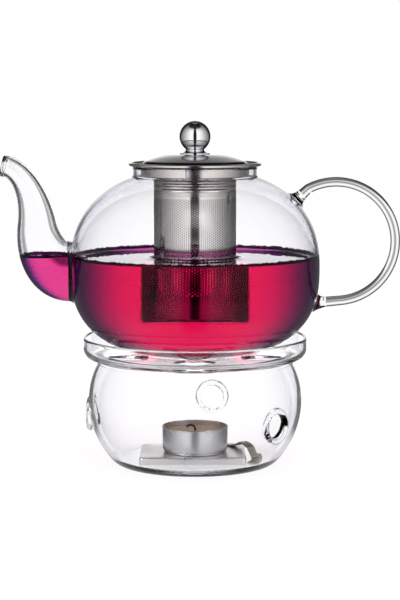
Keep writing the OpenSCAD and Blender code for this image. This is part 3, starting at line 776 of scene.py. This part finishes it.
def mixed(tree, share, first, second, blend_type="MIX"):
    """A colour from first to second. Each is three plain numbers or a node's output."""
    first, second = ((*c, 1) if isinstance(c, tuple) else c for c in (first, second))
    return put(tree, "Mix", {0: share, 6: first, 7: second}, data_type="RGBA",
               blend_type=blend_type).outputs[2]


def ramp(tree, factor, stops):
    """A colour ramp with the given stops of place and grey or colour."""
    node = put(tree, "ValToRGB", {"Fac": factor})
    marks = node.color_ramp.elements
    for n, (place, colour) in enumerate(stops):
        mark = marks[n] if n < 2 else marks.new(place)
        mark.position = place
        mark.color = (*((colour,) * 3 if isinstance(colour, (int, float)) else colour), 1)
    return node.outputs["Color"]


def place_on(tree):
    """The place on the piece, in metres. It stays with the piece when the piece moves."""
    return put(tree, "TexCoord").outputs["Object"]


def x_y_z(tree, way):
    """The three numbers of a place or a direction."""
    return tuple(put(tree, "SeparateXYZ", {0: way}).outputs)


def facing_of(tree, **normal):
    """0 where the surface is seen straight on, and 1 where it is seen edge on."""
    return put(tree, "LayerWeight", {"Blend": 0.5, **normal}).outputs["Facing"]


def noise(tree, place, scale, detail):
    return put(tree, "TexNoise", {"Vector": place, "Scale": scale, "Detail": detail}).outputs["Fac"]


def dented(tree, place, scale, depth, detail=2.0):
    """A bump of soft noise, with its depth in metres."""
    return put(tree, "Bump", {"Height": noise(tree, place, scale, detail), "Strength": 1.0,
                              "Distance": depth}).outputs["Normal"]

# %% Make a material and give it to a piece
def finish(name, build):
    """A material whose tree build(tree) fills. It returns the surface and, if any, the volume."""
    material = bpy.data.materials.new(name)
    material.use_nodes = True
    tree = material.node_tree
    tree.nodes.clear()
    surface, volume = build(tree)
    output = put(tree, "OutputMaterial", {"Surface": surface})
    if volume:
        tree.links.new(volume, output.inputs["Volume"])
    return material


def dress(piece, material):
    """Gives the piece this one material, on its own slot or on the CAD node's slots."""
    if not piece.material_slots:
        piece.data.materials.append(material)
    for slot in piece.material_slots:
        slot.material = material
    print(f"{piece.name} wears {material.name}")

# %% [markdown]
# ### Clear glass
# A plain glass shader is right for a thick block, and too clean for a blown wall. Seen edge
# on, light runs a long way inside a blown wall, and the curved wall bends and mirrors the
# darker sides of the room, so its outlines look grey to dark. Here that is painted shade: the
# Layer Weight node knows how edge-on a surface is seen, and a ramp turns that into a darker
# tint of the glass. Three more things make it look blown. A rod has a painted dark line along
# each side and a faint one down its middle, so slender parts have a ramp of their own, and the
# bulge that was noted on each point of the mesh picks it; on the pot, the upper side of the
# slender parts gets a painted dark line too. The lower wall of the spout is thick on the real
# pot, and gets broader painted lines. And level glass, such as the floor of the dish, stays
# plain, so that it mirrors what stands on it.
#
# A ray that is on its way out meets each surface from behind. There Blender turns the normal
# round, so it is turned back first, and tops stay tops.

# %% Which way the glass faces
def true_normal(tree):
    """The direction away from the solid, also where a ray meets the surface from inside."""
    geometry = put(tree, "NewGeometry").outputs
    sign = eased(tree, geometry["Backfacing"], 0.0, 1.0, 1.0, -1.0)
    return reckon_way(tree, "SCALE", geometry["Normal"], sign)


def side_facing(tree, normal):
    """How edge-on the surface is seen. Undersides count as if they stood upright."""
    x, y, z = x_y_z(tree, normal)
    upright = put(tree, "CombineXYZ", {"X": x, "Y": y, "Z": reckon(tree, "MAXIMUM", z, 0.0)}).outputs[0]
    return facing_of(tree, Normal=reckon_way(tree, "NORMALIZE", upright))


def levelness(tree, normal, start, end):
    """1 on a level surface, facing up or down, and 0 on walls."""
    steep = reckon(tree, "ABSOLUTE", x_y_z(tree, normal)[2])
    return eased(tree, steep, start, end)


SPOUT_ROOT_X = (-74.0, -77.0)
UNDER_SPOUT = (-0.93, 0, -0.36)


def under_spout(tree, normal):
    """1 on the lower side of the empty spout, where the real pot's wall is thick and broader dark lines
    are painted, and 0 elsewhere.
    """
    x, _, z = x_y_z(tree, place_on(tree))
    beyond_root = eased(tree, x, *(edge * MM for edge in SPOUT_ROOT_X))
    above_tea = eased(tree, z, (TEA_Z + 1) * MM, (TEA_Z + 4) * MM)
    down = eased(tree, reckon_way(tree, "DOT_PRODUCT", normal, UNDER_SPOUT), 0.3, 0.55)
    return reckon(tree, "MULTIPLY", reckon(tree, "MULTIPLY", beyond_root, above_tea), down)


def clear_for_lamps(tree, shader, tint):
    """Lets rays towards a lamp through, so that the glass doesn't throw a black shadow."""
    clear = put(tree, "BsdfTransparent", {"Color": (*tint, 1)})
    return put(tree, "MixShader", {0: put(tree, "LightPath").outputs["Is Shadow Ray"],
                                   1: shader.outputs[0], 2: clear.outputs[0]}).outputs[0]

# %% Blown glass
LEVEL_TINT, WALL_MIRROR = (0.985, 0.985, 0.99), (0.06, 0.06, 0.065)


def blown_glass(name, body_edge, rod_edge, ripple, spout_edge=None, upper_line=None):
    """Clear glass with painted shade at its outlines. Each ramp of tints runs from seen straight on to
    seen edge on.
    """
    def build(tree):
        normal = true_normal(tree)
        facing = side_facing(tree, normal)
        bulge = put(tree, "Attribute", attribute_name="slender").outputs["Fac"]
        slender = eased(tree, bulge, 0.5, 0.8)
        broad = reckon(tree, "SUBTRACT", 1.0, slender)
        level = reckon(tree, "MULTIPLY", levelness(tree, normal, 0.93, 0.985), broad)
        # Painted shade: the ramps darken the glass where it is seen edge on, and the upper line darkens
        # the upper side of slender parts.
        tint = ramp(tree, facing, body_edge)
        if spout_edge:
            tint = mixed(tree, under_spout(tree, normal), tint, ramp(tree, facing, spout_edge))
        rod = ramp(tree, facing_of(tree), rod_edge)
        if upper_line:
            rod = mixed(tree, 1.0, rod, ramp(tree, x_y_z(tree, normal)[2], upper_line), "MULTIPLY")
        tint = mixed(tree, slender, tint, rod)
        shader = put(tree, "BsdfPrincipled", {
            "Base Color": mixed(tree, level, tint, LEVEL_TINT), "Roughness": 0.0, "IOR": 1.47,
            "Transmission Weight": 1.0, "Specular Tint": mixed(tree, level, WALL_MIRROR, (1, 1, 1)),
            "Normal": dented(tree, place_on(tree), 40.0, ripple)})
        return clear_for_lamps(tree, shader, (0.95, 0.95, 0.96)), None
    return finish(name, build)

# %% The pot's glass and the warmer's
# These ramps paint shade into the glass. They give dark outlines where it is seen edge on, and a dark
# line on the upper side of the pot's slender parts, in place of the darker room that the glass bends and
# mirrors.
POT_EDGE_SHADE = [(0.0, (0.995, 0.99, 1.0)), (1.0, (0.01, 0.01, 0.02)), (0.35, (0.99, 0.985, 1.0)),
            (0.66, (0.94, 0.93, 0.995)), (0.77, (0.80, 0.79, 0.88)), (0.85, (0.06, 0.06, 0.08))]
ROD_EDGE_SHADE = [(0.0, 0.30), (1.0, 0.0), (0.010, 0.42), (0.03, 0.97), (0.20, 0.97), (0.30, 0.25),
            (0.42, 0.006)]
UPPER_LINE_SHADE = [(0.0, 1.0), (1.0, 1.0), (0.28, 1.0), (0.40, 0.03), (0.74, 0.02), (0.86, 0.8)]
SPOUT_EDGE_SHADE = [(0.0, (0.995, 0.99, 1.0)), (1.0, 0.2), (0.20, 0.97), (0.25, 0.22), (0.33, 0.14),
              (0.40, 0.50), (0.55, 0.58), (0.64, 0.16)]
BOWL_EDGE_SHADE = [(0.0, (0.997, 0.995, 1.0)), (1.0, (0.30, 0.30, 0.34)), (0.5, (0.985, 0.98, 1.0)),
             (0.80, (0.95, 0.94, 0.985)), (0.93, (0.80, 0.80, 0.86))]
RING_EDGE_SHADE = [(0.0, 0.9), (1.0, 0.35), (0.03, 0.97), (0.35, 0.97), (0.5, 0.80), (0.7, 0.60)]
dress(pot_glass, blown_glass("pot_glass", POT_EDGE_SHADE, ROD_EDGE_SHADE, 0.00004, SPOUT_EDGE_SHADE, UPPER_LINE_SHADE))
dress(warmer_glass, blown_glass("warmer_glass", BOWL_EDGE_SHADE, RING_EDGE_SHADE, 0.0001))

# %% [markdown]
# ### Crimson tea
# A liquid takes its colour from depth: a thin stretch in the spout is bright pink, and the
# full body is deep crimson. The Volume Absorption node does that, so the colour isn't painted
# on. Near the outline of a round vessel light is bent away to the sides, where the room is
# darker, and a ramp gives that purple band on every side. Only the level surface of the tea
# mirrors the room at full strength. Where the liquid creeps up the wall its edge is so steep
# that hardly any light comes through, and a share of dark matt colour gives that thin line.

# %% Crimson tea
TEA_CLEAR, TEA_LEVEL, TEA_LINE = (0.79, 0.087, 0.381), (0.93, 0.30, 0.60), (0.020, 0.0015, 0.014)
TEA_DEPTH, TEA_STRENGTH = (0.986, 0.05, 0.449), 21.6
TEA_DIMMING = ((0.0, 1.0), (1.0, 0.0001), (0.045, 1.0), (0.085, 0.82), (0.105, 0.62), (0.125, 0.38),
               (0.155, 0.16), (0.185, 0.05), (0.22, 0.008), (0.26, 0.002))
TEA_EDGE = [(place, tuple(c * k for c, k in zip(TEA_CLEAR, (dim, dim ** 0.7, dim ** 0.4))))
            for place, dim in TEA_DIMMING]


def tea_tree(tree):
    normal = true_normal(tree)
    level = levelness(tree, normal, 0.9, 0.98)
    upward = eased(tree, x_y_z(tree, normal)[2], 0.2, 0.34)
    creep = reckon(tree, "MULTIPLY", reckon(tree, "SUBTRACT", upward, level, clamp=True), 0.8)
    edge = ramp(tree, side_facing(tree, normal), TEA_EDGE)
    liquid = put(tree, "BsdfPrincipled", {
        "Base Color": mixed(tree, level, edge, TEA_LEVEL), "Roughness": 0.0, "IOR": 1.333,
        "Specular Tint": (0.3, 0.3, 0.3, 1), "Transmission Weight": 1.0,
        "Normal": dented(tree, place_on(tree), 30.0, 0.00004)})
    line = put(tree, "BsdfDiffuse", {"Color": (*TEA_LINE, 1)})
    surface = put(tree, "MixShader", {0: creep, 1: liquid.outputs[0], 2: line.outputs[0]})
    depth = put(tree, "VolumeAbsorption", {"Color": (*TEA_DEPTH, 1), "Density": TEA_STRENGTH})
    return clear_for_lamps(tree, surface, (1.0, 0.75, 0.85)), depth.outputs[0]


dress(tea, finish("crimson_tea", tea_tree))

# %% [markdown]
# ### Steel
# Stainless sheet is grey with a trace of warmth. What makes it look worked is the direction
# of its scratches: round the axis on a spun lid, and along the sheet on a rolled basket. The
# noise is therefore stretched before it dents the surface. Polish is only a lower roughness.
# Four helpers add what a single piece has: a darker band between two heights, which darkens
# the steel up to the level of the tea and paints a shadow line round the lid's skirt, a
# painted shade on the inside of a tube that light hardly enters, beads rolled into the throat,
# and a painted dark edge on a polished ball, in place of the dark corners of the room that it
# would mirror there.

# %% What a single piece of steel can have
def radius_of(tree, place):
    """The distance from the upright axis."""
    return reckon_way(tree, "LENGTH", reckon_way(tree, "MULTIPLY", place, (1, 1, 0)))


def darkened_band(tree, colour, low, high, shade):
    """The colour made darker between two heights in millimetres, fading over one millimetre. Below the
    tea it darkens the steel; round the lid's skirt it is a painted shadow.
    """
    middle, half = (low + high) / 2 * MM, (high - low) / 2 * MM
    away = reckon(tree, "ABSOLUTE", reckon(tree, "SUBTRACT", x_y_z(tree, place_on(tree))[2], middle))
    outside_band = eased(tree, away, half, half + MM)
    return reckon_way(tree, "MULTIPLY", colour, mixed(tree, outside_band, shade, (1, 1, 1)))


def dim_inside(tree, colour, inner):
    """The colour on the outside of an upright tube, and inner, a painted shade, on its inside and in its
    holes.
    """
    place, normal = place_on(tree), put(tree, "NewGeometry").outputs["Normal"]
    up = reckon_way(tree, "MULTIPLY", place, (0, 0, 1))
    outward = reckon(tree, "SUBTRACT", reckon_way(tree, "DOT_PRODUCT", place, normal),
                     reckon_way(tree, "DOT_PRODUCT", up, normal))
    return mixed(tree, eased(tree, outward, 2 * MM, 18 * MM), inner, colour)


def beaded(tree, normal, low, high, reach, pitch):
    """Beads rolled round a tube between two heights, within a radius, all in millimetres."""
    place = place_on(tree)
    height = x_y_z(tree, place)[2]
    within = reckon(tree, "LESS_THAN", radius_of(tree, place), reach * MM)
    between = reckon(tree, "COMPARE", height, (low + high) / 2 * MM, (high - low) / 2 * MM)
    wave = reckon(tree, "SINE", reckon(tree, "MULTIPLY", height, 2 * math.pi / (pitch * MM)))
    wave = reckon(tree, "MULTIPLY", wave, reckon(tree, "MULTIPLY", within, between))
    return put(tree, "Bump", {"Height": wave, "Strength": 1.0, "Distance": pitch * MM * 0.09,
                              "Normal": normal}).outputs[0]

# %% Steel
def steel(name, colour, roughness, stretch, depth, spun=False, edge=None, beads=None, inner=None,
          dark_band=None):
    """A steel finish with fine scratches. stretch scales the coordinates of the scratches."""
    def build(tree):
        place = place_on(tree)
        if spun:
            place = put(tree, "CombineXYZ", {"X": radius_of(tree, place),
                                             "Z": x_y_z(tree, place)[2]}).outputs[0]
        grain = noise(tree, reckon_way(tree, "MULTIPLY", place, stretch), 1.0, 3.0)
        normal = put(tree, "Bump", {"Height": grain, "Strength": 0.6, "Distance": depth}).outputs[0]
        base = colour
        if inner:
            base = dim_inside(tree, base, inner)
        if dark_band:
            base = darkened_band(tree, base, *dark_band)
        # Painted reflection: where the steel is seen edge on, the ramp darkens it, in place of the dark
        # corners of the room that it would mirror.
        if edge:
            start, end, dark = edge
            base = ramp(tree, facing_of(tree), [(0.0, colour), (1.0, dark), (start, colour),
                                                (end, dark)])
        if beads:
            normal = beaded(tree, normal, *beads)
        return put(tree, "BsdfPrincipled", {
            "Metallic": 1.0, "Base Color": (*base, 1) if isinstance(base, tuple) else base,
            "Roughness": eased(tree, noise(tree, place, 90.0, 2.0), 0.3, 0.7, roughness * 0.8,
                               roughness * 1.2),
            "Normal": normal}).outputs[0], None
    return finish(name, build)


# %% The steel pieces
ROLLED = {"roughness": 0.17, "stretch": (500, 500, 60), "depth": 0.000004}
WARM_STEEL = (0.62, 0.60, 0.575)
# Steel below the level of the tea is made darker by this band.
DARKER_BELOW_TEA = (0, TEA_Z, (0.42, 0.34, 0.36))
# A painted shadow: a dark band round the lid's skirt, where it sits on the neck.
SKIRT_PAINTED_SHADOW = (NECK_TOP, NECK_TOP + 2.6, (0.12, 0.08, 0.08))
THROAT_BEADS = (160.5, 168.0, 25.5, 3.0)
# The polished knob gets a painted dark rim where it is seen edge on.
polished = steel("polished_steel", (0.78, 0.78, 0.79), 0.05, (900, 900, 900), 0.000003, spun=True,
                 edge=(0.48, 0.58, (0.03, 0.03, 0.035)))
for name in ("knob_ball", "knob_foot", "knob_screw", "knob_washer"):
    dress(nodes[name], polished)
dress(nodes["lid_dome"], steel("spun_lid_steel", (0.53, 0.53, 0.56), 0.16, (1500, 0, 1500), 0.000008,
                               spun=True, dark_band=SKIRT_PAINTED_SHADOW))
dress(nodes["infuser_rim"], steel("beaded_throat_steel", WARM_STEEL, beads=THROAT_BEADS, **ROLLED))
dress(nodes["infuser_base"], steel("satin_steel", WARM_STEEL, dark_band=DARKER_BELOW_TEA, **ROLLED))
# The basket's dark inside and holes are painted shade.
dress(basket, steel("basket_sheet_steel", (0.70, 0.685, 0.665), inner=(0.05, 0.035, 0.04), dark_band=DARKER_BELOW_TEA,
                    **{**ROLLED, "roughness": 0.10}))
dress(tray, steel("bright_tray_steel", (0.84, 0.84, 0.83), 0.34, (60, 900, 60), 0.000006))
dress(nodes["tray_strap"], steel("strap_steel", (0.36, 0.355, 0.28), 0.42, (60, 600, 60), 0.00001))
foil = steel("drawn_foil", (0.56, 0.56, 0.57), 0.30, (700, 700, 25), 0.000008)
for piece in (cup, nodes["wick_sustainer"]):
    dress(piece, foil)

# %% [markdown]
# ### Wax and wick
# Wax lets light in a little way, which is subsurface scattering, and it is never of one
# colour. A burnt wick is soot with a few ash-grey fibres.

# %% Wax and wick
def wax_tree(tree):
    place = place_on(tree)
    colour = ramp(tree, noise(tree, place, 140.0, 4.0), [(0.3, (0.23, 0.22, 0.13)),
                                                         (0.7, (0.33, 0.31, 0.20))])
    shader = put(tree, "BsdfPrincipled", {
        "Base Color": colour, "Roughness": 0.42, "IOR": 1.44, "Subsurface Weight": 0.2,
        "Subsurface Radius": (0.002, 0.0015, 0.001), "Subsurface Scale": 1.0,
        "Normal": dented(tree, place, 260.0, 0.0002, 3.0)})
    return shader.outputs[0], None


def wick_tree(tree):
    place = place_on(tree)
    colour = ramp(tree, noise(tree, place, 1500.0, 3.0), [(0.45, (0.008, 0.007, 0.006)),
                                                          (0.8, (0.12, 0.11, 0.10))])
    shader = put(tree, "BsdfPrincipled", {"Base Color": colour, "Roughness": 0.9,
                                          "Normal": dented(tree, place, 1500.0, 0.0001)})
    return shader.outputs[0], None


dress(wax, finish("tealight_wax", wax_tree))
dress(wick, finish("charred_wick", wick_tree))

# %% [markdown]
# ## The studio
# Glass has no look of its own: it shows the room. The set stands on a pale floor in a white
# room. Through glass and straight ahead the room is plain white. What shiny steel mirrors is
# a light tent: bright on both sides, dark in the narrow slit where a camera would look in,
# and dim overhead. That is a drawing on the world by direction, so it stays put when the
# camera goes round. The Light Path node tells a ray that was mirrored on its way from one
# that only went through glass.

# %% The room
TENT_STRENGTH = 2.0
TENT = [(0.0, 0.006), (1.0, 1.0), (0.054, 0.008), (0.070, 0.50), (0.10, 0.66), (0.20, 0.61),
        (0.30, 0.50), (0.36, 0.40), (0.44, 0.30), (0.55, 0.19), (0.68, 0.10), (0.87, 0.08), (0.92, 1.0)]
TENT_HEIGHT = [(0.0, 0.9), (1.0, 0.03), (0.80, 1.0), (0.90, 0.75), (0.95, 0.06)]
BACK_HEIGHT = [(0.0, 0.9), (1.0, 0.05), (0.46, 0.88), (0.556, 0.64), (0.69, 0.24), (0.83, 0.12)]


def tent_walls(tree, way):
    """How bright the tent's wall is in the direction of the vector way, from front to back."""
    level_way = reckon_way(tree, "NORMALIZE", reckon_way(tree, "MULTIPLY", way, (1, 1, 0)))
    front = reckon(tree, "MULTIPLY", x_y_z(tree, level_way)[1], -1.0)
    share = reckon(tree, "DIVIDE", reckon(tree, "ARCCOSINE", front), math.pi)
    return reckon_way(tree, "SCALE", ramp(tree, share, TENT), TENT_STRENGTH)


def was_mirrored(tree, path):
    return reckon(tree, "GREATER_THAN", path["Glossy Depth"], 0.5)


def room_tree(tree):
    tree.nodes.clear()
    way = put(tree, "TexCoord").outputs["Generated"]
    _, back, up = x_y_z(tree, way)
    rise = eased(tree, up, -1.0, 1.0)
    fall = mixed(tree, eased(tree, back, 0.25, 0.6), ramp(tree, rise, TENT_HEIGHT),
                 ramp(tree, rise, BACK_HEIGHT))
    tent = reckon_way(tree, "MULTIPLY", tent_walls(tree, way), fall)
    path = put(tree, "LightPath").outputs
    seen = mixed(tree, was_mirrored(tree, path), (1, 1, 1), tent)
    colour = mixed(tree, path["Is Diffuse Ray"], seen, (0.80, 0.80, 0.81))
    light = put(tree, "Background", {"Color": colour, "Strength": 1.0})
    put(tree, "OutputWorld", {"Surface": light.outputs[0]})


world = bpy.data.worlds.new("white_room")
bpy.context.scene.world = world
world.use_nodes = True
room_tree(world.node_tree)
print("the room has", len(world.node_tree.nodes), "nodes")

# %% [markdown]
# The floor is matt white paint that takes the soft shadow of the set. A share of glow makes it
# as white as the room, also through glass. What is mirrored sees the tent's walls in it
# further out, and plain white close to the set, where the thick glass would otherwise show
# the dark slit as a black patch.

# %% The floor
NEAR_FLOOR, FAR_FLOOR, GLOW_SHARE = 75.0, 110.0, 0.72


def floor_tree(tree):
    path = put(tree, "LightPath").outputs
    seen = reckon(tree, "MAXIMUM", path["Is Camera Ray"], path["Is Glossy Ray"])
    seen = reckon(tree, "MAXIMUM", seen, path["Is Transmission Ray"])
    mirrored = was_mirrored(tree, path)
    share = reckon(tree, "MAXIMUM", reckon(tree, "MULTIPLY", seen, GLOW_SHARE), mirrored)
    place = place_on(tree)
    far = eased(tree, reckon_way(tree, "LENGTH", place), NEAR_FLOOR * MM, FAR_FLOOR * MM)
    walls = mixed(tree, far, (0.7, 0.7, 0.72), tent_walls(tree, place))
    glow = mixed(tree, mirrored, (1.075, 1.075, 1.075), walls)
    paint = put(tree, "BsdfDiffuse", {"Color": (0.93, 0.93, 0.93, 1)})
    white = put(tree, "Emission", {"Color": glow, "Strength": 1.0})
    return put(tree, "MixShader", {0: share, 1: paint.outputs[0], 2: white.outputs[0]}).outputs[0], None


FLOOR_REACH, FLOOR_Z = 3000, -0.05
corners = [(x * FLOOR_REACH, y * FLOOR_REACH, FLOOR_Z) for x, y in ((-1, -1), (1, -1), (1, 1), (-1, 1))]
floor = make_mesh("floor", corners, [[0, 1, 2, 3]], smooth=False)
dress(floor, finish("pale_floor", floor_tree))

# %% [markdown]
# Two large soft lamps stand at the sides, a little in front. They model the matt pieces and
# lay a soft shadow on the floor. Mirrors don't see them, because the tent is what mirrors see.

# %% Lamps
def soft_lamp(name, place, size, watts):
    """A square area lamp that points at the middle of the set."""
    lamp = bpy.data.lights.new(name, "AREA")
    lamp.shape, lamp.size, lamp.energy = "SQUARE", size, watts
    holder = bpy.data.objects.new(name, lamp)
    holder.location = place
    holder.rotation_euler = (Vector((0, 0, 0.1)) - Vector(place)).to_track_quat("-Z", "Y").to_euler()
    holder.visible_glossy = False
    bpy.context.scene.collection.objects.link(holder)
    return holder


lamps = [soft_lamp("lamp_left", (-1.1, -0.8, 1.1), 0.9, 7),
         soft_lamp("lamp_right", (1.1, -0.8, 1.1), 0.9, 6)]
print("lamps:", [lamp.name for lamp in lamps])

# %% [markdown]
# ## The camera
# A catalogue picture of a set like this is taken from a little above the rim of the dish,
# with a long lens, so the camera stands over a metre away.

# %% The camera
LOOK_AT, DISTANCE, DOWN, FIELD = (0.0029, 0.0, 0.0966), 1.144, 6.5, 17.44
camera_data = bpy.data.cameras.new("camera")
camera_data.sensor_fit = "VERTICAL"
camera_data.angle = math.radians(FIELD)
camera = bpy.data.objects.new("camera", camera_data)
tilt = math.radians(DOWN)
camera.location = Vector(LOOK_AT) + DISTANCE * Vector((0, -math.cos(tilt), math.sin(tilt)))
camera.rotation_euler = (math.radians(90) - tilt, 0, 0)
bpy.context.scene.collection.objects.link(camera)
bpy.context.scene.camera = camera
print("camera at", [round(v, 3) for v in camera.location])

# %% [markdown]
# ## Last settings
# Light crosses up to a dozen surfaces on its way through the pot and the warmer, so the paths
# are allowed to be long.

# %% Light paths
scene = bpy.context.scene
scene.view_settings.view_transform = "Standard"
scene.cycles.max_bounces = 32
scene.cycles.transmission_bounces = 32
scene.cycles.glossy_bounces = 12
scene.cycles.transparent_max_bounces = 32
